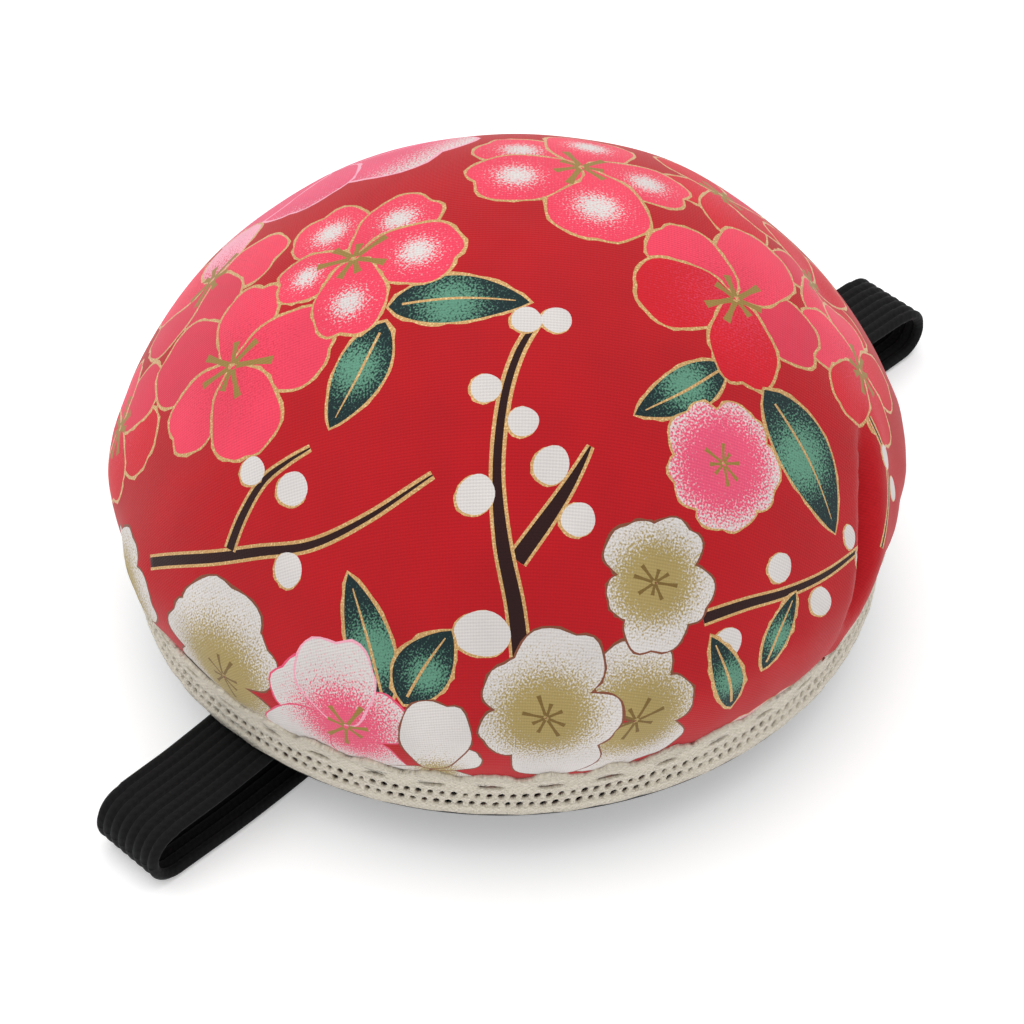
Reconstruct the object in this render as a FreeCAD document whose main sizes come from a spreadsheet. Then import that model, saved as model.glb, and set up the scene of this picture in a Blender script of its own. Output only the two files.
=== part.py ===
import FreeCAD, Part
import os
import re
import Sketcher

# A wrist pin cushion: a stuffed half ball of printed cotton with a lace edge, on a plastic base
# plate, worn by a loop of flat braided elastic. Millimetres, +Z up. The cushion stands on its
# flattened loop: z = 0 is the underside of the loop's lower run, and the loop runs along X.
# The elastic is one strap that bends all over, so it is made of straight segments, with a hinge
# between each and the next.

DIMENSIONS = {
    # flat braided elastic
    "strap_width": 9.6,
    "strap_thickness": 1.2,
    "strap_clearance": 0.2,        # top runs to the plate
    "hinge_gap": 0.45,             # each segment stops this far from its hinges
    "fold_gap": 0.8,               # and this far where the strap turns a square corner
    "slot_reach": 24.0,            # centre of the cushion to each plate slot
    "top_split": 39.9,             # hinge in the middle of each top run
    "fold_reach": 55.8,            # the upright stretch where the runs turn over at each end
    "lower_split_inner": 10.0,
    "lower_split_outer": 32.9,
    # sewn lap where the strap's two ends meet, under the middle of the plate
    "lap_reach": 6.0,
    "lap_clearance": 0.15,
    "joggle_run": 1.2,
    "joggle_clearance": 0.5,
    "joggle_shift": 0.54,          # keeps the strap's thickness on the slope
    "stitch_size": 0.3,
    "stitch_height": 0.15,
    "stitch_row_reach": 3.6,
    "stitch_row_depth": 1.8,
    "stitch_margin": 0.8,
    # base plate
    "plate_bottom": 7.0,
    "plate_thickness": 2.2,
    "plate_radius": 38.2,
    "flange_radius": 39.4,
    "flange_thickness": 0.35,
    "rim_wall": 1.2,
    "rim_rise": 0.6,
    "recess_radius": 14.0,
    "recess_depth": 0.4,
    "plate_slot_width": 2.4,
    "plate_slot_length": 10.8,
    "plate_slot_rounding": 0.3,
    "bridge_clearance": 0.1,       # the strap's hidden run to the plate
    "leg_clearance": 0.2,          # the strap's legs to the plate's underside
    # cover
    "fabric_thickness": 0.5,
    "hem_height": 10.1,            # underside of the turned-in hem
    "hem_inner_radius": 27.0,
    "waist_radius": 38.6,
    "hem_corner_radius": 1.5,
    "belly_radius": 8.0,
    "widest_radius": 41.3,
    "widest_height": 20.2,
    "crown_radius": 43.6,
    "gather_ring_radius": 26.5,
    "gather_thread_radius": 0.25,
    # inside
    "disc_radius": 36.5,
    "disc_bottom": 10.7,
    "disc_thickness": 1.5,
    "disc_edge_radius": 0.5,
    "filling_clearance": 0.1,
    "glue_inner_radius": 29.0,
    "glue_outer_radius": 34.0,
    # lace
    "lace_bottom": 7.5,
    "lace_height": 6.6,
    "lace_thickness": 0.8,
    "lace_bottom_radius": 38.8,    # inner faces
    "lace_top_radius": 39.1,
}
STITCH_TURNS = 9                   # corners of each zigzag row

doc = FreeCAD.newDocument("pin_cushion")
sheet = doc.addObject("Spreadsheet::Sheet", "Dims")
for row, (alias, value) in enumerate(DIMENSIONS.items(), start=1):
    sheet.set(f"A{row}", alias)
    sheet.set(f"B{row}", str(value))
    sheet.setAlias(f"B{row}", alias)
doc.recompute()

nodes = []


# ---------------------------------------------------------------- helpers

def sheet_name(word):
    return f"Dims.{word}" if word in DIMENSIONS else word


def bound(words):
    """An expression in which every word that names a dimension reads the sheet."""
    return re.sub("[a-z_]+", lambda found: sheet_name(found.group()), words)


def evaluate(words):
    """The number that an expression has now."""
    return float(sheet.evalExpression(bound(words)))


def keep(item, label):
    """Names a finished object and adds it to the sub-parts."""
    item.Label = label
    nodes.append(item)
    return item


def closed_sketch(body, name, role, corners, arcs=None):
    """A closed outline on one of the body's origin planes. corners are pairs of expressions,
    anticlockwise. arcs turns the edge that leaves a corner into an arc: {corner: (radius, bulge)},
    where bulge is 1 if the arc stands out of the outline and -1 if it cuts in."""
    arcs = arcs or {}
    sketch = body.newObject("Sketcher::SketchObject", name)
    plane = next(f for f in body.Origin.OriginFeatures if f.Role == role)
    sketch.AttachmentSupport = (plane, [""])
    sketch.MapMode = "FlatFace"
    points = [FreeCAD.Vector(evaluate(x), evaluate(y), 0) for x, y in corners]
    ends = []
    for i, first in enumerate(points):
        second = points[(i + 1) % len(points)]
        if i not in arcs:
            sketch.addGeometry(Part.LineSegment(first, second), False)
            ends.append((1, 2))
            continue
        radius, bulge = arcs[i]
        across = (second - first) * 0.5
        inward = FreeCAD.Vector(-across.y, across.x, 0).normalize() * bulge
        depth = (evaluate(radius) ** 2 - across.Length ** 2) ** 0.5
        centre = first + across + inward * depth
        circle = Part.Circle(centre, FreeCAD.Vector(0, 0, 1), evaluate(radius))
        start, stop = (first, second) if bulge > 0 else (second, first)
        angles = [circle.parameter(point) for point in (start, stop)]
        sketch.addGeometry(Part.ArcOfCircle(circle, *angles), False)
        ends.append((1, 2) if bulge > 0 else (2, 1))
    for i, (_, finish) in enumerate(ends):
        follower = (i + 1) % len(points)
        sketch.addConstraint(
            Sketcher.Constraint("Coincident", i, finish, follower, ends[follower][0])
        )
    for i, (begin, _) in enumerate(ends):
        x, y = corners[i]
        for kind, zero_axis, words, value in (
            ("DistanceX", -2, x, points[i].x),
            ("DistanceY", -1, y, points[i].y),
        ):
            if words == "0":
                sketch.addConstraint(Sketcher.Constraint("PointOnObject", i, begin, zero_axis))
            else:
                at = sketch.addConstraint(Sketcher.Constraint(kind, -1, 1, i, begin, value))
                sketch.setExpression(f"Constraints[{at}]", bound(words))
    for i, (radius, _) in arcs.items():
        at = sketch.addConstraint(Sketcher.Constraint("Radius", i, evaluate(radius)))
        sketch.setExpression(f"Constraints[{at}]", bound(radius))
    return sketch


def turned(name, corners, arcs=None):
    """A body turned about Z from its half outline in the XZ plane."""
    body = doc.addObject("PartDesign::Body", name)
    turn = body.newObject("PartDesign::Revolution", name + "_turn")
    outline = closed_sketch(body, name + "_outline", "XZ_Plane", corners, arcs)
    turn.Profile = outline
    turn.ReferenceAxis = (outline, ["V_Axis"])
    turn.Angle = 360
    body.Tip = turn
    return body


def padded_across(name, corners):
    """A body as wide as the strap, padded evenly both ways along Y."""
    body = doc.addObject("PartDesign::Body", name)
    pad = body.newObject("PartDesign::Pad", name + "_pad")
    pad.Profile = closed_sketch(body, name + "_outline", "XZ_Plane", corners)
    pad.SideType = "Symmetric"
    pad.setExpression("Length", bound("strap_width"))
    body.Tip = pad
    return body


# ---------------------------------------------------------------- cushion

PLATE_TOP = "plate_bottom + plate_thickness"
BELLY_CENTRE = "(widest_radius - belly_radius)"
CENTRE_DISTANCE = "(crown_radius - belly_radius)"
CENTRE_RISE = f"sqrt({CENTRE_DISTANCE} ^ 2 - {BELLY_CENTRE} ^ 2)"
CROWN_CENTRE = f"(widest_height - {CENTRE_RISE})"


def dome_points(inset):
    """Corners of the dome's outline, moved inward by inset: where the belly's arc leaves the
    upright wall, where it meets the crown's arc, and the top."""
    wall = f"(waist_radius - {inset})"
    belly = f"(belly_radius - {inset})"
    crown = f"(crown_radius - {inset})"
    return [
        (wall, f"widest_height - sqrt({belly} ^ 2 - ({wall} - {BELLY_CENTRE}) ^ 2)"),
        (
            f"{crown} * {BELLY_CENTRE} / {CENTRE_DISTANCE}",
            f"{CROWN_CENTRE} + {crown} * {CENTRE_RISE} / {CENTRE_DISTANCE}",
        ),
        ("0", f"{CROWN_CENTRE} + {crown}"),
    ]


def cover():
    """Printed cotton bag: crown, belly, upright wall behind the lace, and the turned-in hem."""
    outer = dome_points("0")
    inner = dome_points("fabric_thickness")
    corner_height = "hem_height + hem_corner_radius"
    corner_reach = "waist_radius - hem_corner_radius"
    corners = [
        ("hem_inner_radius", "hem_height"),
        (corner_reach, "hem_height"),
        ("waist_radius", corner_height),
        *outer,
        *reversed(inner),
        ("waist_radius - fabric_thickness", corner_height),
        (corner_reach, "hem_height + fabric_thickness"),
        ("hem_inner_radius", "hem_height + fabric_thickness"),
    ]
    arcs = {
        1: ("hem_corner_radius", 1),
        3: ("belly_radius", 1),
        4: ("crown_radius", 1),
        6: ("crown_radius - fabric_thickness", -1),
        7: ("belly_radius - fabric_thickness", -1),
        9: ("hem_corner_radius - fabric_thickness", -1),
    }
    keep(turned("cover_body", corners, arcs), "cover")


def stuffing():
    """Fibre filling, pressed into the cover over the stiff disc."""
    inset = "(fabric_thickness + filling_clearance)"
    bottom = "disc_bottom + disc_thickness + filling_clearance"
    corners = [("0", bottom), (f"waist_radius - {inset}", bottom), *dome_points(inset)]
    arcs = {2: (f"belly_radius - {inset}", 1), 3: (f"crown_radius - {inset}", 1)}
    keep(turned("stuffing_body", corners, arcs), "stuffing")


def needle_stop_disc():
    """Stiff disc in the bottom of the cover, which keeps needle points off the wrist."""
    top = "disc_bottom + disc_thickness"
    corners = [
        ("0", "disc_bottom"),
        ("disc_radius", "disc_bottom"),
        ("disc_radius", f"{top} - disc_edge_radius"),
        ("disc_radius - disc_edge_radius", top),
        ("0", top),
    ]
    body = turned("disc_body", corners, {2: ("disc_edge_radius", 1)})
    keep(body, "needle_stop_disc")


def gathering_thread():
    """Running thread that draws the hem in under the disc."""
    ring = doc.addObject("Part::Torus", "gathering_ring")
    ring.setExpression("Radius1", bound("gather_ring_radius"))
    ring.setExpression("Radius2", bound("gather_thread_radius"))
    ring.setExpression("Placement.Base.z", bound("hem_height + fabric_thickness / 2"))
    keep(ring, "gathering_thread")


def glue_ring():
    """Ring of hot-melt glue between the base plate and the hem."""
    corners = [
        ("glue_inner_radius", PLATE_TOP),
        ("glue_outer_radius", PLATE_TOP),
        ("glue_outer_radius", "hem_height"),
        ("glue_inner_radius", "hem_height"),
    ]
    keep(turned("glue_body", corners), "glue_ring")


def lace_trim():
    """Lace ribbon glued round the cover's wall, leaning out a little towards its top edge."""
    top = "lace_bottom + lace_height"
    corners = [
        ("lace_bottom_radius", "lace_bottom"),
        ("lace_bottom_radius + lace_thickness", "lace_bottom"),
        ("lace_top_radius + lace_thickness", top),
        ("lace_top_radius", top),
    ]
    keep(turned("lace_body", corners), "lace_trim")


# ---------------------------------------------------------------- base plate

def base_plate():
    """Moulded plate: a thin flange under the lace, a low wall round the hem, a shallow recess
    underneath, and a slot each side for the strap."""
    flange_top = "plate_bottom + flange_thickness"
    wall_top = f"{PLATE_TOP} + rim_rise"
    wall_inner = "plate_radius - rim_wall"
    recess_top = "plate_bottom + recess_depth"
    corners = [
        ("0", recess_top),
        ("recess_radius - recess_depth", recess_top),
        ("recess_radius", "plate_bottom"),
        ("flange_radius", "plate_bottom"),
        ("flange_radius", flange_top),
        ("plate_radius", flange_top),
        ("plate_radius", wall_top),
        (wall_inner, wall_top),
        (wall_inner, PLATE_TOP),
        ("0", PLATE_TOP),
    ]
    body = turned("plate_body", corners)
    doc.recompute()
    solid_plate = body.Shape.Volume

    near = "slot_reach - plate_slot_width / 2"
    far = "slot_reach + plate_slot_width / 2"
    side = "plate_slot_length / 2"
    slot = body.newObject("PartDesign::Pocket", "strap_slot")
    slot.Profile = closed_sketch(
        body,
        "strap_slot_outline",
        "XY_Plane",
        [(near, f"-1 * {side}"), (far, f"-1 * {side}"), (far, side), (near, side)],
    )
    slot.Type = "ThroughAll"
    slot.Reversed = True
    body.Tip = slot
    doc.recompute()
    one_slot = evaluate("plate_slot_width * plate_slot_length * plate_thickness")
    cut = solid_plate - body.Shape.Volume
    assert abs(cut - one_slot) < 0.01 * one_slot, "the strap slot cut the wrong volume"

    other = body.newObject("PartDesign::Mirrored", "other_strap_slot")
    other.Originals = [slot]
    other.MirrorPlane = (next(f for f in body.Origin.OriginFeatures if f.Role == "YZ_Plane"), [""])
    body.Tip = other
    doc.recompute()
    edges = slot_mouth_edges(body.Shape)
    rounding = body.newObject("PartDesign::Fillet", "slot_rounding")
    rounding.Base = (other, edges)
    rounding.setExpression("Radius", bound("plate_slot_rounding"))
    body.Tip = rounding
    keep(body, "base_plate")


def slot_mouth_edges(shape):
    """The long edges of both slots on the plate's underside, where the strap bends round."""
    height = evaluate("plate_bottom")
    length = evaluate("plate_slot_length")
    return [
        f"Edge{number}"
        for number, edge in enumerate(shape.Edges, start=1)
        if abs(edge.BoundBox.ZMax - height) < 1e-6
        and abs(edge.BoundBox.YLength - length) < 1e-6
        and edge.BoundBox.XLength < 1e-6
    ]


# ---------------------------------------------------------------- strap

TOP_RUN_FLOOR = "(plate_bottom - strap_clearance - strap_thickness)"
FOLD_FOOT = "(strap_thickness / 2 + fold_gap)"
FOLD_HEAD = f"({TOP_RUN_FLOOR} + strap_thickness / 2 - fold_gap)"


def strap_segment(label, side, near, far, floor, height):
    """A stretch of strap between two distances from the centre. side is 1 for +X and -1 for -X."""
    box = doc.addObject("Part::Box", label + "_box")
    box.setExpression("Length", bound(f"{far} - ({near})"))
    box.setExpression("Width", bound("strap_width"))
    box.setExpression("Height", bound(height))
    box.setExpression("Placement.Base.x", bound(near if side > 0 else f"-1 * ({far})"))
    box.setExpression("Placement.Base.y", bound("strap_width / -2"))
    box.setExpression("Placement.Base.z", bound(floor))
    keep(box, label)


def strap_side(name, side):
    """One side of the loop, from the plate slot out to the fold and back along the lower run."""
    level = {"height": "strap_thickness"}
    stretches = {
        "top_inner": {
            "near": "slot_reach + hinge_gap",
            "far": "top_split - hinge_gap",
            "floor": TOP_RUN_FLOOR,
            **level,
        },
        "top_outer": {
            "near": "top_split + hinge_gap",
            "far": "fold_reach - fold_gap",
            "floor": TOP_RUN_FLOOR,
            **level,
        },
        "fold": {
            "near": "fold_reach - strap_thickness / 2",
            "far": "fold_reach + strap_thickness / 2",
            "floor": FOLD_FOOT,
            "height": f"{FOLD_HEAD} - {FOLD_FOOT}",
        },
        "run_outer": {
            "near": "lower_split_outer + hinge_gap",
            "far": "fold_reach - fold_gap",
            "floor": "0",
            **level,
        },
        "run_inner": {
            "near": "lower_split_inner + hinge_gap",
            "far": "lower_split_outer - hinge_gap",
            "floor": "0",
            **level,
        },
    }
    for part_name, sizes in stretches.items():
        strap_segment(f"band_{name}_{part_name}", side, **sizes)


def strap_under_end():
    """The strap's +X end, which lies on the table under the plate's middle."""
    end = doc.addObject("Part::Box", "under_end_box")
    end.setExpression("Length", bound("lap_reach + lower_split_inner - hinge_gap"))
    end.setExpression("Width", bound("strap_width"))
    end.setExpression("Height", bound("strap_thickness"))
    end.setExpression("Placement.Base.x", bound("lap_reach * -1"))
    end.setExpression("Placement.Base.y", bound("strap_width / -2"))
    keep(end, "band_under_end")


def strap_over_end():
    """The strap's -X end, which steps up and laps over the other one."""
    lap_floor = "strap_thickness + lap_clearance"
    lap_top = "2 * strap_thickness + lap_clearance"
    start = "hinge_gap - lower_split_inner"
    foot = "-1 * lap_reach - joggle_clearance - joggle_run"
    head = "-1 * lap_reach - joggle_clearance"
    corners = [
        (start, "0"),
        (foot, "0"),
        (head, lap_floor),
        ("lap_reach", lap_floor),
        ("lap_reach", lap_top),
        (f"{head} - joggle_shift", lap_top),
        (f"{foot} - joggle_shift", "strap_thickness"),
        (start, "strap_thickness"),
    ]
    keep(padded_across("over_end_body", corners), "band_over_end")


def strap_bridge():
    """The strap's hidden run over the plate, with a leg down through each slot."""
    half = "strap_thickness / 2"
    inner = f"(slot_reach - {half})"
    outer = f"(slot_reach + {half})"
    foot = "plate_bottom + leg_clearance"
    floor = f"{PLATE_TOP} + bridge_clearance"
    top = f"{floor} + strap_thickness"
    corners = [
        (f"-1 * {outer}", foot),
        (f"-1 * {inner}", foot),
        (f"-1 * {inner}", floor),
        (inner, floor),
        (inner, foot),
        (outer, foot),
        (outer, top),
        (f"-1 * {outer}", top),
    ]
    keep(padded_across("bridge_body", corners), "band_bridge")


def stitch_row(name, centre):
    """One zigzag row of thread across the strap, on top of the lap."""
    pitch = f"(strap_width - 2 * stitch_margin) / {STITCH_TURNS - 1}"
    path = [
        (
            f"{centre} + {1 if turn % 2 else -1} * stitch_row_depth / 2",
            f"stitch_margin - strap_width / 2 + {turn} * {pitch}",
        )
        for turn in range(STITCH_TURNS)
    ]
    right = [(f"{x} + stitch_size / 2", y) for x, y in path]
    left = [(f"{x} - stitch_size / 2", y) for x, y in path]
    body = doc.addObject("PartDesign::Body", name)
    pad = body.newObject("PartDesign::Pad", name + "_pad")
    pad.Profile = closed_sketch(body, name + "_outline", "XY_Plane", right + left[::-1])
    pad.setExpression("Length", bound("stitch_height"))
    body.Tip = pad
    body.setExpression("Placement.Base.z", bound("2 * strap_thickness + lap_clearance"))
    return body


def join_stitching():
    """Both rows of thread that hold the lap."""
    rows = doc.addObject("Part::Compound", "stitch_rows")
    rows.Links = [
        stitch_row("stitch_row_a", "stitch_row_reach"),
        stitch_row("stitch_row_b", "-1 * stitch_row_reach"),
    ]
    keep(rows, "join_stitching")


# ---------------------------------------------------------------- build and write

cover()
stuffing()
needle_stop_disc()
gathering_thread()
glue_ring()
lace_trim()
base_plate()
strap_bridge()
strap_side("right", 1)
strap_side("left", -1)
strap_under_end()
strap_over_end()
join_stitching()

doc.recompute()
for item in doc.Objects:
    problems = [state for state in item.State if state in ("Invalid", "Error")]
    if problems:
        raise SystemExit(f"{item.Name} is {problems}")
for node in nodes:
    if node.Shape.isNull() or not node.Shape.isValid() or not node.Shape.Solids:
        raise SystemExit(f"{node.Label} has no valid solid")

os.makedirs("parts", exist_ok=True)
for node in nodes:
    node.Shape.exportStep(f"parts/{node.Label}.step")
    box = node.Shape.BoundBox
    print(
        f"{node.Label:24s} x {box.XMin:7.2f} {box.XMax:7.2f}  y {box.YMin:7.2f} {box.YMax:7.2f}"
        f"  z {box.ZMin:6.2f} {box.ZMax:6.2f}  volume {node.Shape.Volume:10.2f}"
    )
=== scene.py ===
import math
import random

import bpy
import numpy as np
from mathutils import Matrix, Vector, noise
from mathutils.geometry import delaunay_2d_cdt


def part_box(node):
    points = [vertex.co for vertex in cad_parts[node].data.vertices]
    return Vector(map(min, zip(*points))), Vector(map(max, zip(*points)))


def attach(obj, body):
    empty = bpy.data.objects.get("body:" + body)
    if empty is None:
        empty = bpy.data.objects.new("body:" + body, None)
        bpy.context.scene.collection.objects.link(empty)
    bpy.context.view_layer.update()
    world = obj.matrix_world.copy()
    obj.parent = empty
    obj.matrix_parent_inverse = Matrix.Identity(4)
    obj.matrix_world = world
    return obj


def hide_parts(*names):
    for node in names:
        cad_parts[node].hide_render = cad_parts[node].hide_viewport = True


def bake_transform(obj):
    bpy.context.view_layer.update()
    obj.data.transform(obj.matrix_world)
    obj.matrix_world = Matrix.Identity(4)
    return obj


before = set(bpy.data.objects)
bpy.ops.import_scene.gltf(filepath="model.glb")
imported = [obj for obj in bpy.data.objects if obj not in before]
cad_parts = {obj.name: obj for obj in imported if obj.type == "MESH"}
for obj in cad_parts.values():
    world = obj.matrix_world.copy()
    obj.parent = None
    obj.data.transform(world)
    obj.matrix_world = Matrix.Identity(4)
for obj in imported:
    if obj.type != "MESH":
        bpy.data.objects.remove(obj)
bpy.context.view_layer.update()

# The wrist pin cushion's looks. Lengths are millimetres until a mesh is made.
MM = 0.001
CREAM = (236, 228, 212)


def size_of(node):
    """A CAD node's lowest and highest corners in millimetres."""
    low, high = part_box(node)
    return [value / MM for value in low], [value / MM for value in high]


def linear(red, green, blue):
    """A shader colour from the 0 to 255 values that the eye reads."""
    return tuple((value / 255) ** 2.2 for value in (red, green, blue)) + (1.0,)


# ---- nodes and meshes

def node(tree, kind, inputs=None, **settings):
    """Adds a shader node. An input is a number, a colour or another node's socket."""
    made = tree.nodes.new("ShaderNode" + kind)
    for key, value in settings.items():
        setattr(made, key, value)
    for key, value in (inputs or {}).items():
        if isinstance(value, bpy.types.NodeSocket):
            tree.links.new(value, made.inputs[key])
        else:
            made.inputs[key].default_value = value
    return made


def maths(tree, operation, *values):
    """The result of a Math node."""
    inputs = dict(enumerate(values))
    return node(tree, "Math", inputs, operation=operation).outputs[0]


def plus(tree, total, value, share):
    """total with a share of value added."""
    return maths(tree, "ADD", total, maths(tree, "MULTIPLY", value, share))


def blended(tree, factor, first, second, mode="MIX"):
    """Two colours mixed by factor."""
    inputs = {0: factor, 6: first, 7: second}
    made = node(tree, "Mix", inputs, data_type="RGBA", blend_type=mode)
    return made.outputs[2]


def remapped(tree, value, low, high, new_low=0.0, new_high=1.0):
    """value moved from one range to another, and kept inside it."""
    inputs = {0: value, 1: low, 2: high, 3: new_low, 4: new_high}
    return node(tree, "MapRange", inputs).outputs[0]


def attribute(tree, name, output="Vector"):
    return node(tree, "Attribute", attribute_name=name).outputs[output]


def noise_value(tree, place, scale, detail=2.0):
    """Noise from 0 to 1, with scale in cells per unit of place."""
    inputs = {"Vector": place, "Scale": scale, "Detail": detail}
    return node(tree, "TexNoise", inputs).outputs[0]


def bumped(tree, height, depth, strength=1.0):
    """A normal from a height of 0 to 1 that stands depth millimetres tall."""
    inputs = {"Height": height, "Distance": depth * MM, "Strength": strength}
    return node(tree, "Bump", inputs).outputs[0]


def new_material(name):
    """An empty material's node tree and its main shader."""
    material = bpy.data.materials.new(name)
    material.use_nodes = True
    tree = material.node_tree
    return material, tree, tree.nodes["Principled BSDF"]


def connect(tree, shader, **sockets):
    """Sets the shader's inputs by their names, with underscores for spaces."""
    for key, value in sockets.items():
        target = shader.inputs[key.replace("_", " ")]
        if isinstance(value, bpy.types.NodeSocket):
            tree.links.new(value, target)
        else:
            target.default_value = value


def new_piece(name, points, faces, material, body=None):
    """A mesh piece from points in millimetres."""
    mesh = bpy.data.meshes.new(name)
    mesh.from_pydata((np.asarray(points) * MM).tolist(), [], faces)
    mesh.materials.append(material)
    mesh.shade_smooth()
    piece = bpy.data.objects.new(name, mesh)
    bpy.context.scene.collection.objects.link(piece)
    if body:
        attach(piece, body)
    return piece


def set_values(piece, name, kind, domain, values):
    """Stores one attribute on the piece's mesh."""
    made = piece.data.attributes.new(name, kind, domain)
    field = {"FLOAT": "value", "FLOAT_VECTOR": "vector", "FLOAT_COLOR": "color"}[kind]
    made.data.foreach_set(field, np.asarray(values, dtype=np.float32).ravel())


def ring_faces(rings, around, start=0, outward=False):
    """Four-sided faces between rings of points, each ring with that many points around."""
    faces = []
    for ring in range(rings - 1):
        low = start + ring * around
        high = low + around
        for step in range(around):
            after = (step + 1) % around
            face = (low + step, high + step, high + after, low + after)
            faces.append(face[:1] + face[:0:-1] if outward else face)
    return faces


def cap(start, around):
    """One face over a ring of points."""
    return tuple(range(start, start + around))


def thicken(piece, thickness, offset=-1.0):
    solid = piece.modifiers.new("thickness", "SOLIDIFY")
    solid.thickness = thickness * MM
    solid.offset = offset


def set_uv(piece, places):
    """A UV map from one flat place for each vertex."""
    corners = np.zeros(len(piece.data.loops), dtype=np.int32)
    piece.data.loops.foreach_get("vertex_index", corners)
    layer = piece.data.uv_layers.new(name="UVMap")
    layer.data.foreach_set("uv", np.asarray(places, dtype=np.float32)[corners][:, :2].ravel())


# ---- camera, light and floor

VIEW_AZIMUTH = math.radians(-43.9)
VIEW_ELEVATION = math.radians(44.3)
VIEW_ROLL = math.radians(0.8)
VIEW_DISTANCE = 0.3975
VIEW_TARGET = Vector((0.0005, -0.0004, 0.0107))
VIEW_LENS = 131.4
FLOOR_REACH = 4000
FLOOR_HEIGHT = -0.05
WORLD_STRENGTH = 0.64
KEY_PLACE = (0.0, 0.14, 0.9)
KEY_SIZE = 1.5
KEY_POWER = 8.5


def camera_axes():
    """The camera's right, up and back directions."""
    back = Vector((
        math.sin(VIEW_AZIMUTH) * math.cos(VIEW_ELEVATION),
        -math.cos(VIEW_AZIMUTH) * math.cos(VIEW_ELEVATION),
        math.sin(VIEW_ELEVATION),
    ))
    level = Vector((math.cos(VIEW_AZIMUTH), math.sin(VIEW_AZIMUTH), 0))
    upright = back.cross(level)
    right = level * math.cos(VIEW_ROLL) - upright * math.sin(VIEW_ROLL)
    return right, back.cross(right), back


def add_camera():
    right, up, back = camera_axes()
    lens = bpy.data.cameras.new("camera")
    lens.lens = VIEW_LENS
    lens.sensor_width = 36
    lens.clip_end = 20
    lens.dof.use_dof = False
    camera = bpy.data.objects.new("camera", lens)
    place = VIEW_TARGET + back * VIEW_DISTANCE
    camera.matrix_world = Matrix((
        *((right[row], up[row], back[row], place[row]) for row in range(3)),
        (0, 0, 0, 1),
    ))
    bpy.context.scene.collection.objects.link(camera)
    bpy.context.scene.camera = camera


def add_light(name, place, size, power):
    """A square soft box that faces the cushion."""
    data = bpy.data.lights.new(name, "AREA")
    data.size = size
    data.energy = power
    light = bpy.data.objects.new(name, data)
    light.location = place
    light.rotation_euler = (-Vector(place)).to_track_quat("-Z", "Y").to_euler()
    bpy.context.scene.collection.objects.link(light)


def add_stage():
    """A plain pale floor under soft studio light."""
    material, tree, shader = new_material("floor")
    connect(
        tree, shader, Base_Color=(0.86, 0.86, 0.86, 1), Roughness=0.9,
        Emission_Color=(1, 1, 1, 1), Emission_Strength=0.3,
    )
    corners = [
        (x * FLOOR_REACH, y * FLOOR_REACH, FLOOR_HEIGHT)
        for x, y in ((-1, -1), (1, -1), (1, 1), (-1, 1))
    ]
    new_piece("floor", corners, [(0, 1, 2, 3)], material)
    world = bpy.data.worlds.new("world")
    world.use_nodes = True
    background = world.node_tree.nodes["Background"]
    background.inputs["Color"].default_value = (1, 1, 1, 1)
    background.inputs["Strength"].default_value = WORLD_STRENGTH
    bpy.context.scene.world = world
    add_light("key", KEY_PLACE, KEY_SIZE, KEY_POWER)
    bpy.context.scene.view_settings.view_transform = "Standard"


# ---- the cushion's form

COVER_LOW, COVER_TOP = size_of("cover")
LACE_LOW, LACE_HIGH = size_of("lace_trim")
HEM_HEIGHT = COVER_LOW[2]
WIDEST_RADIUS = COVER_TOP[0]
WIDEST_HEIGHT = 20.2
CROWN_RADIUS = 43.6
CROWN_CENTRE = COVER_TOP[2] - CROWN_RADIUS
SHOULDER_RADIUS = 8.0
SHOULDER_CENTRE = WIDEST_RADIUS - SHOULDER_RADIUS
FLANK_RADIUS = 16.0                # the fuller curve from the widest place down to the hem
FLANK_CENTRE = WIDEST_RADIUS - FLANK_RADIUS
HEM_CORNER = 1.5
HEM_REACH = 11.0                   # how far the hem is turned in
CROWN_END = math.atan2(SHOULDER_CENTRE, WIDEST_HEIGHT - CROWN_CENTRE)
FLANK_TURN = math.asin((WIDEST_HEIGHT - HEM_HEIGHT - HEM_CORNER) / FLANK_RADIUS)
WALL_RADIUS = FLANK_CENTRE + FLANK_RADIUS * math.cos(FLANK_TURN)
CROWN_LENGTH = CROWN_RADIUS * CROWN_END
SHOULDER_LENGTH = SHOULDER_RADIUS * (math.pi / 2 - CROWN_END)
FLANK_LENGTH = FLANK_RADIUS * FLANK_TURN
CORNER_LENGTH = HEM_CORNER * math.pi / 2


def outline_point(length):
    """Radius and height of the cover, a length down the fabric from its top."""
    if length < CROWN_LENGTH:
        turn = length / CROWN_RADIUS
        return CROWN_RADIUS * math.sin(turn), CROWN_CENTRE + CROWN_RADIUS * math.cos(turn)
    length -= CROWN_LENGTH
    if length < SHOULDER_LENGTH:
        turn = CROWN_END + length / SHOULDER_RADIUS
        return (
            SHOULDER_CENTRE + SHOULDER_RADIUS * math.sin(turn),
            WIDEST_HEIGHT + SHOULDER_RADIUS * math.cos(turn),
        )
    length -= SHOULDER_LENGTH
    if length < FLANK_LENGTH:
        turn = length / FLANK_RADIUS
        return (
            FLANK_CENTRE + FLANK_RADIUS * math.cos(turn),
            WIDEST_HEIGHT - FLANK_RADIUS * math.sin(turn),
        )
    length -= FLANK_LENGTH
    reach = WALL_RADIUS - HEM_CORNER
    if length < CORNER_LENGTH:
        turn = length / HEM_CORNER
        return reach + HEM_CORNER * math.cos(turn), HEM_HEIGHT + HEM_CORNER * (1 - math.sin(turn))
    return reach - (length - CORNER_LENGTH), HEM_HEIGHT


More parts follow.
